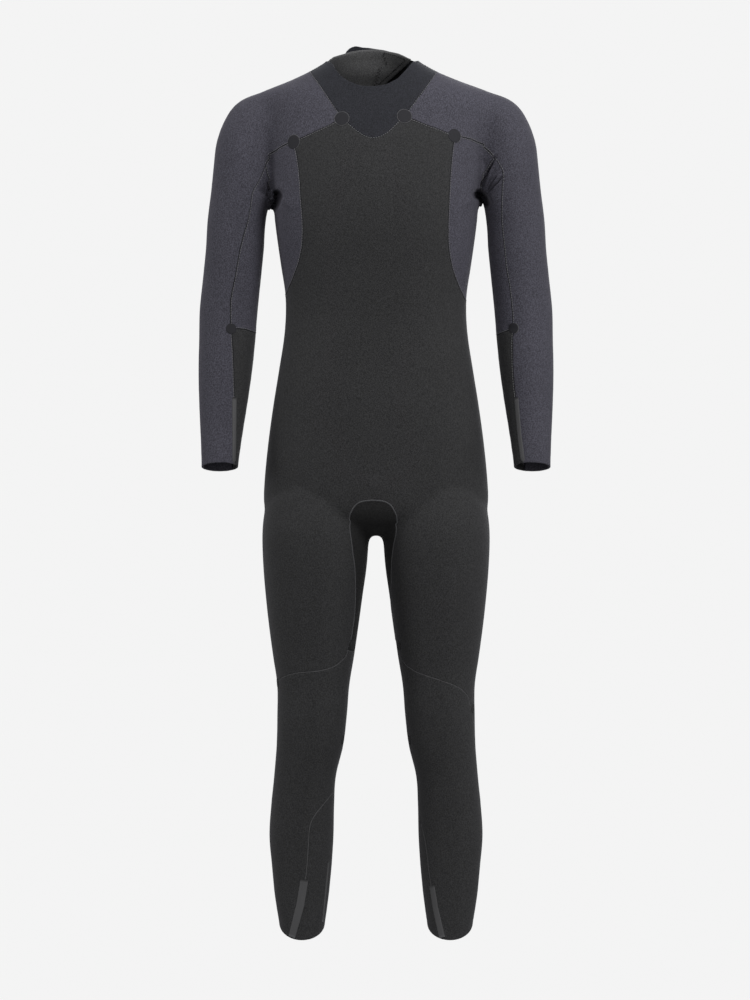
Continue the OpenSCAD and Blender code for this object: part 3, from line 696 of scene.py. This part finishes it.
def jersey(
    name, colour, grain=0.42, sheen=0.1, sheen_tint=(0.6, 0.6, 0.66), roughness=0.85, bump=0.35, scale=640
):
    """Knitted jersey on neoprene: a fine heather in the colour and a fine knit in the bump."""
    mat = plain_material(name, colour, roughness)
    nodes, links = mat.node_tree.nodes, mat.node_tree.links
    bsdf = nodes["Principled BSDF"]
    bsdf.inputs["Sheen Weight"].default_value = sheen
    bsdf.inputs["Sheen Roughness"].default_value = 0.45
    bsdf.inputs["Sheen Tint"].default_value = (*sheen_tint, 1)
    bsdf.inputs["Specular IOR Level"].default_value = 0.2
    coords = nodes.new("ShaderNodeTexCoord")
    stretch = nodes.new("ShaderNodeMapping")
    stretch.inputs["Scale"].default_value = (1.0, 1.0, 0.8)
    links.new(coords.outputs["Object"], stretch.inputs["Vector"])
    noise = nodes.new("ShaderNodeTexNoise")
    noise.inputs["Scale"].default_value = scale
    noise.inputs["Detail"].default_value = 1.5
    noise.inputs["Roughness"].default_value = 0.65
    links.new(stretch.outputs["Vector"], noise.inputs["Vector"])
    cloudy = nodes.new("ShaderNodeTexNoise")
    cloudy.inputs["Scale"].default_value = 9
    cloudy.inputs["Detail"].default_value = 3
    links.new(coords.outputs["Object"], cloudy.inputs["Vector"])
    ramp = nodes.new("ShaderNodeValToRGB")
    dark = tuple(c * (1 - grain) for c in colour)
    light = tuple(c * (1 + grain) + 0.002 for c in colour)
    ramp.color_ramp.elements[0].position = 0.36
    ramp.color_ramp.elements[0].color = (*dark, 1)
    ramp.color_ramp.elements[1].position = 0.64
    ramp.color_ramp.elements[1].color = (*light, 1)
    links.new(noise.outputs["Fac"], ramp.inputs["Fac"])
    wear = nodes.new("ShaderNodeMixRGB")
    wear.blend_type = "MULTIPLY"
    wear.inputs["Fac"].default_value = 0.35
    tone = nodes.new("ShaderNodeValToRGB")
    tone.color_ramp.elements[0].position = 0.3
    tone.color_ramp.elements[0].color = (0.78, 0.78, 0.78, 1)
    tone.color_ramp.elements[1].position = 0.7
    tone.color_ramp.elements[1].color = (1.12, 1.12, 1.12, 1)
    links.new(cloudy.outputs["Fac"], tone.inputs["Fac"])
    links.new(ramp.outputs["Color"], wear.inputs["Color1"])
    links.new(tone.outputs["Color"], wear.inputs["Color2"])
    links.new(wear.outputs["Color"], bsdf.inputs["Base Color"])
    knit = nodes.new("ShaderNodeTexVoronoi")
    knit.inputs["Scale"].default_value = 850
    links.new(stretch.outputs["Vector"], knit.inputs["Vector"])
    height = nodes.new("ShaderNodeMath")
    height.operation = "ADD"
    links.new(noise.outputs["Fac"], height.inputs[0])
    links.new(knit.outputs["Distance"], height.inputs[1])
    relief = nodes.new("ShaderNodeBump")
    relief.inputs["Strength"].default_value = bump
    relief.inputs["Distance"].default_value = 0.0004
    links.new(height.outputs["Value"], relief.inputs["Height"])
    links.new(relief.outputs["Normal"], bsdf.inputs["Normal"])
    return mat


BODY = jersey("jersey_black", (0.0183, 0.0183, 0.0190))
SLEEVE = jersey("jersey_grey_purple", (0.039, 0.0378, 0.049), sheen_tint=(0.66, 0.64, 0.75))
COLLAR = jersey("jersey_charcoal", (0.0111, 0.0116, 0.0153), sheen_tint=(0.6, 0.63, 0.7))
GUSSET = jersey("jersey_gusset", (0.0088, 0.0088, 0.009), sheen=0.02)
LINING = jersey("jersey_lining", (0.061, 0.061, 0.062), grain=0.3)
PATCH = plain_material("patch_film", (0.012, 0.0118, 0.0145), 0.75)
LEG_PATCH = plain_material("patch_film_leg", (0.0172, 0.0172, 0.0178), 0.8)
TAPE = plain_material("seam_tape", (0.052, 0.052, 0.054), 0.6)
BEAD = plain_material("seam_sealant", (0.05, 0.05, 0.053), 0.6)
THREAD = plain_material("thread_grey", (0.11, 0.11, 0.115), 0.7)
WELT = plain_material("seam_welt", (0.05, 0.05, 0.052), 0.7)
DARK_THREAD = plain_material("thread_dark", (0.007, 0.007, 0.008), 0.8)
# near black: painted shade for the inside of the collar, which lies in shadow
PAINTED_SHADE_LINING = plain_material("lining_painted_shade", (0.003, 0.003, 0.003), 0.9)
HOOK = plain_material("hook_and_loop", (0.02, 0.02, 0.022), 0.9)
for look in (PATCH, LEG_PATCH, TAPE, BEAD, THREAD, WELT, DARK_THREAD, PAINTED_SHADE_LINING, HOOK):
    look.node_tree.nodes["Principled BSDF"].inputs["Specular IOR Level"].default_value = 0.2

PANEL_LOOK = {}
for panel in PANELS:
    if panel.startswith(("sleeve", "side_panel", "underarm")):
        PANEL_LOOK[panel] = (SLEEVE, "sleeve_jersey")
    elif panel.startswith("collar"):
        PANEL_LOOK[panel] = (COLLAR, "collar_jersey")
    elif panel == "crotch_gusset":
        PANEL_LOOK[panel] = (GUSSET, "gusset_jersey")
    else:
        PANEL_LOOK[panel] = (BODY, "body_jersey")

# ---------------------------------------------------------------- the skin

SKIN_T = 3.6 * MM
VOXEL = 0.0043
ARMPIT_X, ARMPIT_Z = 178, 1240
GROOVE = 0.9  # how far the skin dips at a seam
co, tri = fused_skin(VOXEL)
links = edges_of(tri)
# the joins of the limbs are softened more than the rest, but not right at the tops of the gaps
x, y, z = co.T
join = np.exp(-(((np.abs(x) - ARMPIT_X) / 26) ** 2)) * np.clip((z - 1225) / 25, 0, 1)
crotch = np.exp(-((x / 60) ** 2) - ((z - 668) / 45) ** 2) * 0.7
soft = np.clip(np.maximum(join, crotch), 0, 1)[:, None]
# each round of smoothing is followed by one outward, so that the limbs don't shrink
for _ in range(14):
    co = relax(co, links, 1, 0.5)
    co = relax(co, links, 1, -0.51 + 0.5 * soft)
shoulder = np.exp(-(((np.abs(co[:, 0]) - ARMPIT_X) / 34) ** 2)) * np.clip((co[:, 2] - 1285) / 40, 0, 1)
co = relax(co, links, 26, 0.55 * shoulder[:, None])
co = fold(co, tri, FOLDS)
co = relax(co, links, 1, 0.5)
co = relax(co, links, 1, -0.51)
for _ in range(2):
    beside = np.abs(np.abs(co[:, 0]) - ARMPIT_X) < 34
    co, tri = refine(co, tri, beside & (np.abs(co[:, 2] - ARMPIT_Z) < 58) & (co[:, 1] < 12))
co = raise_gaps(co)
near = np.min([polyline_distance(co[:, [0, 2]], path)[0] for path, *_ in CREASES + HOLLOWS], axis=0)
co, tri = refine(co, tri, (near < 9) & (co[:, 1] < 10))
co = fold(co, tri, CREASES)
co = hollow(co)
co = relax(co, edges_of(tri), 1, 0.3)

# the openings are cut first
field = open_field(co)
co, tri = refine(co, tri, np.abs(field) < 9)
field = open_field(co)
co, tri, lab, edge = split_by_label(co, tri, np.stack([np.zeros(len(co)), field], 1))
smooth_runs(co, chains([(a, b) for a, b, _, _ in edge]), 6)
tri = tri[lab == 0]
used = np.unique(tri)
back = np.full(len(co), -1)
back[used] = np.arange(len(used))
co, tri = co[used], back[tri]

# then the skin is cut into the panels
dist = panel_distances(co)
two = np.sort(dist, axis=1)[:, :2]
co, tri = refine(co, tri, (two[:, 1] - two[:, 0]) < 7)
dist = panel_distances(co)
co, tri, lab, seam = split_by_label(co, tri, dist)
seam_runs = chains([(a, b) for a, b, _, _ in seam])
smooth_runs(co, seam_runs, 8)
normal = normals_of(co, tri)
on_seam = np.zeros(len(co), bool)
on_seam[list({v for s in seam for v in s[:2]})] = True
flat = co.copy()
groove = GROOVE * np.clip((open_field(co) - 1) / 5, 0, 1)[:, None]
co[on_seam] -= (normal * groove)[on_seam]
skin_tree = BVHTree.FromPolygons([tuple(p) for p in flat], [tuple(map(int, t)) for t in tri])

for k, name in enumerate(PANELS):
    own = tri[lab == k]
    used = np.unique(own)
    back = np.full(len(co), -1)
    back[used] = np.arange(len(used))
    look, slot = PANEL_LOOK[name]
    piece = add_mesh(name + "_skin", co[used], back[own], look, replaces=[name], slot=slot)
    thicken(piece, SKIN_T)
    level_rims(piece)

# ---------------------------------------------------------------- seams

edge_labels = {}
for a, b, p, q in seam:
    edge_labels[(min(a, b), max(a, b))] = frozenset((PANELS[p], PANELS[q]))


def kind_of(run):
    return edge_labels[(min(run[0], run[1]), max(run[0], run[1]))]


def stitch(place, along, up, length, radius):
    line = np.stack([place - along * length / 2, place, place + along * length / 2])
    return tube(line, np.stack([up] * 3), radius, radius, around=5)


BEAD_BACK, BEAD_LOW = 4, 494  # y and height that bound the gusset's bead
SEAM_END = 5  # how far from an opening the seam lines end
STITCH, STITCH_PITCH, STITCH_R = 2.7, 4.2, 0.52
thread_parts, welt_parts, core_parts, bead_parts = [], [], [], []
for run in seam_runs:
    names = kind_of(run)
    line = resample(flat[run], 2.5)
    if len(line) < 4:
        continue
    ups = []
    for p in line:
        hit = skin_tree.find_nearest(tuple(p))
        ups.append(hit[1])
    ups = np.array(ups)
    if "crotch_gusset" in names:
        # the bead shows at the front, above the ends of the gusset's tails
        shown = (line[:, 1] < BEAD_BACK) & (line[:, 2] > BEAD_LOW)
        marks = np.flatnonzero(np.diff(np.concatenate([[0], shown.astype(int), [0]])))
        for a, b in zip(marks[::2], marks[1::2]):
            if b - a > 3:
                bead_parts.append(tube(line[a:b], ups[a:b], 1.25, 0.8, around=8, sink=0.2))
        if shown.mean() > 0.5:
            continue
    keep = open_field(line) > SEAM_END
    line, ups = line[keep], ups[keep]
    if len(line) < 4:
        continue
    looks = [PANEL_LOOK[n][0] for n in names]
    if all(look in (BODY, GUSSET) for look in looks):
        if line[:, 1].min() < 25:
            welt_parts.append(tube(line, ups, 0.85, 0.55, around=6, sink=0.3))
        continue
    if SLEEVE in looks and COLLAR not in looks:
        core_parts.append(tube(line, ups, 0.9, 0.45, around=6, sink=0.35))
        armhole = all(any(n.startswith(kind) for n in names) for kind in ("side_panel", "sleeve"))
        rows = (-1.7, 1.7) if armhole else (1.3,)
    else:
        rows = (0.0,)
    fine = resample(line, STITCH_PITCH)
    tang = np.gradient(fine, axis=0)
    tang /= np.maximum(np.linalg.norm(tang, axis=1), 1e-9)[:, None]
    for p, t in zip(fine[1:-1], tang[1:-1]):
        n = np.array(skin_tree.find_nearest(tuple(p))[1])
        across = np.cross(t, n)
        for shift in rows:
            q = skin_tree.find_nearest(tuple(p + across * shift))
            thread_parts.append(stitch(np.array(q[0]) + n * 0.15, t, n, STITCH, STITCH_R))

add_mesh("seam_core_lines", *joined(core_parts), DARK_THREAD)
add_mesh("seam_stitches", *joined(thread_parts), THREAD)
add_mesh("seam_welts", *joined(welt_parts), WELT)
add_mesh("gusset_bead_soft", *joined(bead_parts), BEAD, replaces=["gusset_seam_bead"], slot="seam_sealant")


# ---------------------------------------------------------------- patches and tapes

IN_FRONT = -200.0  # y of a place in front of the whole suit
PATCH_HEIGHT = 0.75
TAPE_HEIGHT = 0.6


def on_skin(p):
    place, n, _, _ = skin_tree.find_nearest(tuple(p))
    return np.array(place), np.array(n)


def seen_from_front(tree, x, z):
    """Where a straight look from the front at x and z meets a surface, and the way out of it there."""
    place, n, _, _ = tree.ray_cast(Vector((x, IN_FRONT, z)), Vector((0, 1, 0)))
    return None if place is None else (np.array(place), np.array(n))


def plane_axes(up):
    side = np.cross(up, (0, 0, 1.0))
    side /= np.linalg.norm(side)
    return side, np.cross(side, up)


def spot(x, z, radius, y=None):
    """A thin round patch pressed onto the skin: at x and z from the front, or nearest to x, y and z."""
    centre, up = seen_from_front(skin_tree, x, z) if y is None else on_skin((x, y, z))
    side, top = plane_axes(up)
    profile = [
        (0.0, 1.0), (0.35, 1.0), (0.7, 1.0), (0.86, 1.0), (0.93, 0.9), (0.98, 0.62), (1.0, 0.1), (0.99, -0.5),
    ]
    around = 40
    points = [centre + up * PATCH_HEIGHT]
    for r, h in profile[1:]:
        for i in range(around):
            a = 2 * math.pi * i / around
            p, n = on_skin(centre + (side * math.cos(a) + top * math.sin(a)) * radius * r)
            points.append(p + n * PATCH_HEIGHT * h)
    faces = [(0, 1 + i, 1 + (i + 1) % around) for i in range(around)]
    for k in range(len(profile) - 2):
        for i in range(around):
            a, b = 1 + k * around + i, 1 + k * around + (i + 1) % around
            faces.append((a, a + around, b + around, b))
    return np.array(points), faces


def ribbon(path, width):
    """A flat tape pressed onto the skin along a front-view path of x and z."""
    fine = resample([(x, 0, z) for x, z in path], 4)
    hits = [seen_from_front(skin_tree, x, z) for x, _, z in fine]
    centre, ups = (np.array(rows) for rows in zip(*[hit for hit in hits if hit]))
    tangent = np.gradient(centre, axis=0)
    tangent /= np.linalg.norm(tangent, axis=1)[:, None]
    across = np.cross(tangent, ups)
    across /= np.linalg.norm(across, axis=1)[:, None]
    profile = [
        (-1.0, -0.4), (-1.0, 0.4), (-0.9, 1.0), (-0.45, 1.0), (0, 1.0), (0.45, 1.0), (0.9, 1.0), (1.0, 0.4),
        (1.0, -0.4),
    ]
    points = []
    for c, a in zip(centre, across):
        for s, h in profile:
            p, n = on_skin(c + a * s * width / 2)
            points.append(p + n * TAPE_HEIGHT * h)
    m = len(profile)
    faces = [
        (k * m + i, k * m + i + 1, (k + 1) * m + i + 1, (k + 1) * m + i)
        for k in range(len(centre) - 1)
        for i in range(m - 1)
    ]
    faces += [tuple(range(m)), tuple((len(centre) - 1) * m + i for i in range(m))[::-1]]
    return np.array(points), faces


def spot_rim(x, z, radius, start=0.0, end=360.0):
    """The pale glued edge round a patch, as a thin line from one angle to another."""
    centre, up = seen_from_front(skin_tree, x, z)
    side, top = plane_axes(up)
    line, ups = [], []
    for a in np.radians(np.arange(start, end + 1, 8)):
        p, n = on_skin(centre + (side * math.cos(a) + top * math.sin(a)) * radius)
        line.append(p + n * 0.1)
        ups.append(n)
    return tube(np.array(line), np.array(ups), 0.6, 0.5, around=6)


def add_patches(name, parts, look, replaced):
    add_mesh(name, *joined(parts), look, replaces=[replaced], slot="patch_film")


def add_tape(name, paths, replaced):
    parts = [ribbon(path, width) for path, width in paths]
    add_mesh(name, *joined(parts), TAPE, replaces=[replaced], slot="seam_tape")


# (x, z) of the patches, or (x, y, z) of those round the sides of the legs
COLLAR_SPOTS = [(-56.3, 1354.5), (46.8, 1358.5)]
CHEST_SPOTS = [(-136.1, 1316), (129.5, 1326.3)]
ELBOW_SPOTS = [(-238.9, 1008.5), (226.3, 1009.3)]
LEG_SPOTS = [
    (38, -27, 486), (-43, -28, 487), (59, -17, 331), (-59, -17, 331), (158, -22, 382), (-162, -14, 424),
]
CHEST_R, ELBOW_R, LEG_R = 11.8, 9, 8
add_patches("collar_spots_soft", [spot(x, z, CHEST_R) for x, z in COLLAR_SPOTS], PATCH, "collar_spot_patches")
add_patches("chest_spots_soft", [spot(x, z, CHEST_R) for x, z in CHEST_SPOTS], PATCH, "chest_spot_patches")
add_patches("elbow_spots_soft", [spot(x, z, ELBOW_R) for x, z in ELBOW_SPOTS], PATCH, "elbow_spot_patches")
leg_patches = [spot(x, z, LEG_R, y=y) for x, y, z in LEG_SPOTS]
add_patches("knee_spots_soft", leg_patches, LEG_PATCH, "knee_spot_patches")
rims = [spot_rim(x, z, 12) for x, z in COLLAR_SPOTS]
rims += [spot_rim(*CHEST_SPOTS[0], 12, 20, 250), spot_rim(*CHEST_SPOTS[1], 12, 150, 260)]
rims.append(spot_rim(*ELBOW_SPOTS[1], 9.4, 120, 250))
add_mesh("spot_rims", *joined(rims), BEAD)

# front-view path and width of each tape
add_tape("wrist_tape_soft_left", [([(231, 895), (236, 835), (242.6, 784)], 8)], "wrist_tape_left")
add_tape("wrist_tape_soft_right", [([(-233.5, 895), (-233.5, 835), (-234, 782)], 8)], "wrist_tape_right")
add_tape("ankle_tape_soft_left", [([(92, 90), (98, 52), (108.8, 4.5)], 11)], "ankle_tapes_left")
add_tape(
    "ankle_tape_soft_right",
    [([(-118, 100), (-125, 58), (-139, 5.5)], 13), ([(-78, 130), (-88, 30)], 5)],
    "ankle_tapes_right",
)

# ---------------------------------------------------------------- neck flap and tab


def neck_sheet(left_x, right_x, bottom, inset, rows=20, top_trim=0.0, top_line=None, slope_gap=0.0):
    """A sheet that follows the back of the neck between two ends, which are functions of the height.

    Its inset from the body grows by the slope gap where the neck runs out onto the shoulders. Its top edge
    is the collar's, less the trim, or else a line of (x, height).
    """
    columns = 48
    points = np.zeros((rows + 1, columns + 1, 3))
    for i in range(rows + 1):
        v = i / rows
        for k in range(columns + 1):
            s = k / columns
            z = 1430.0
            for _ in range(6):
                st = stations(TORSO, [z])[0]
                away = inset + slope_gap * float(np.clip((1452 - z) / 26, 0, 1))
                a = st[2] - away
                ends = []
                for end in (left_x(z), right_x(z)):
                    c = (end - st[1]) / a
                    ends.append(math.acos(max(-1.0, min(1.0, c))))
                angle = ends[0] + (ends[1] - ends[0]) * s
                p = ring_points(TORSO, [z], np.array([angle]), away)[0, 0]
                if top_line:
                    top = float(np.interp(p[0], *zip(*top_line)))
                else:
                    top = float(neck_top(p[0], p[1])) - top_trim
                z = bottom + (top - bottom) * v
            p[2] = z
            points[i, k] = p
    m = columns + 1
    faces = [
        (i * m + k, (i + 1) * m + k, (i + 1) * m + k + 1, i * m + k + 1)
        for i in range(rows)
        for k in range(columns)
    ]
    return points, faces


def flap_right(z):
    return float(np.interp(z, [1400, 1413, 1449.5, 1500], [8, 16, 56.5, 56.5]))


flap, flap_faces = neck_sheet(lambda z: -200, flap_right, 1400.0, 4.9, slope_gap=5.5)
flap, flap_faces = flap.reshape(-1, 3), [f[::-1] for f in flap_faces]
flap_ob = add_mesh(
    "inner_flap_soft", flap, flap_faces, LINING, replaces=["collar_inner_flap"], slot="lining_jersey"
)
thicken(flap_ob, 1.8 * MM)

# the inside of the collar beside the flap, coloured near black as painted shade for the shadow in the neck
# opening
shade, shade_faces = neck_sheet(
    lambda z: -30, lambda z: 200, 1392.0, 4.2, rows=12, top_trim=1.0, slope_gap=3.0
)
add_mesh("collar_inside_painted_shade", shade.reshape(-1, 3), [f[::-1] for f in shade_faces], PAINTED_SHADE_LINING)

flap_tree = BVHTree.FromPolygons([tuple(p) for p in flap], flap_faces)


def flap_stitches(path, pitch=3.4, wobble=0.0):
    """Stitches along a front-view path on the flap; the wobble makes them a zigzag."""
    fine = resample([(x, 0, z) for x, z in path], pitch)
    parts = []
    for k, (x, _, z) in enumerate(fine):
        hit = seen_from_front(flap_tree, x + wobble * (-1) ** k, z)
        if hit is None:
            continue
        a, b = fine[max(k - 1, 0)], fine[min(k + 1, len(fine) - 1)]
        t = (b - a) / np.linalg.norm(b - a)
        n = np.array((0, -1.0, 0))
        parts.append(stitch(hit[0] + n * 1.2, t, n, 2.2, 0.6))
    return parts


rows = flap_stitches([(12, 1462), (18, 1446)], wobble=0.9)
rows += flap_stitches([(7, 1440), (-1, 1412)], pitch=2.6, wobble=1.6)
rows += flap_stitches([(47, 1451), (5, 1413)])
rows += flap_stitches([(14, 1464.5), (30, 1460), (46, 1453.5)])
add_mesh("flap_stitches", *joined(rows), DARK_THREAD)

# (x, height) of the tab's top edge, and (height, x) of its free end
TAB_TOP = [
    (-40, 1474.6), (-34, 1475.6), (-28, 1474.8), (-23, 1473.6), (-12, 1472.9), (-4, 1471.6), (14, 1469),
    (30, 1464.5), (49, 1457),
]
TAB_END = [
    (1438, -30), (1446, -42), (1453, -48), (1458, -50.5), (1463, -51), (1467, -48.8), (1471, -44.8),
    (1473.4, -41.2), (1474.8, -37.6), (1475.6, -34),
]
tab, tab_faces = neck_sheet(
    lambda z: float(np.interp(z, *zip(*TAB_END))),
    lambda z: 49.3,
    1441.0,
    -4.3,
    rows=40,
    top_line=TAB_TOP,
)
tab_ob = add_mesh(
    "collar_tab_soft",
    tab.reshape(-1, 3),
    tab_faces,
    COLLAR,
    body="tab",
    replaces=["collar_tab"],
    slot="collar_jersey",
)
thicken(tab_ob, 2.4 * MM)

# ---------------------------------------------------------------- materials of the CAD nodes that stay

TOOTH = plain_material("zip_tooth", (0.03, 0.03, 0.032), 0.45)
ZIP_METAL = plain_material("zip_metal", (0.08, 0.08, 0.085), 0.35, 0.9)
WEAVE = jersey("zip_weave", (0.014, 0.014, 0.015), sheen=0.05, scale=1500)
STAYS = {
    "zip_tape_left": WEAVE, "zip_tape_right": WEAVE, "zip_teeth_left": TOOTH, "zip_teeth_right": TOOTH,
    "zip_top_stops": TOOTH, "zip_bottom_box": TOOTH, "zip_slider": ZIP_METAL, "slider_pin": ZIP_METAL,
    "zip_puller": ZIP_METAL, "zip_backing_flap": LINING, "zip_end_patch": COLLAR, "tab_hook_pad": HOOK,
    "collar_loop_pad": HOOK,
}
for name, look in STAYS.items():
    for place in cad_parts[name].material_slots:
        place.material = look

bpy.context.view_layer.update()
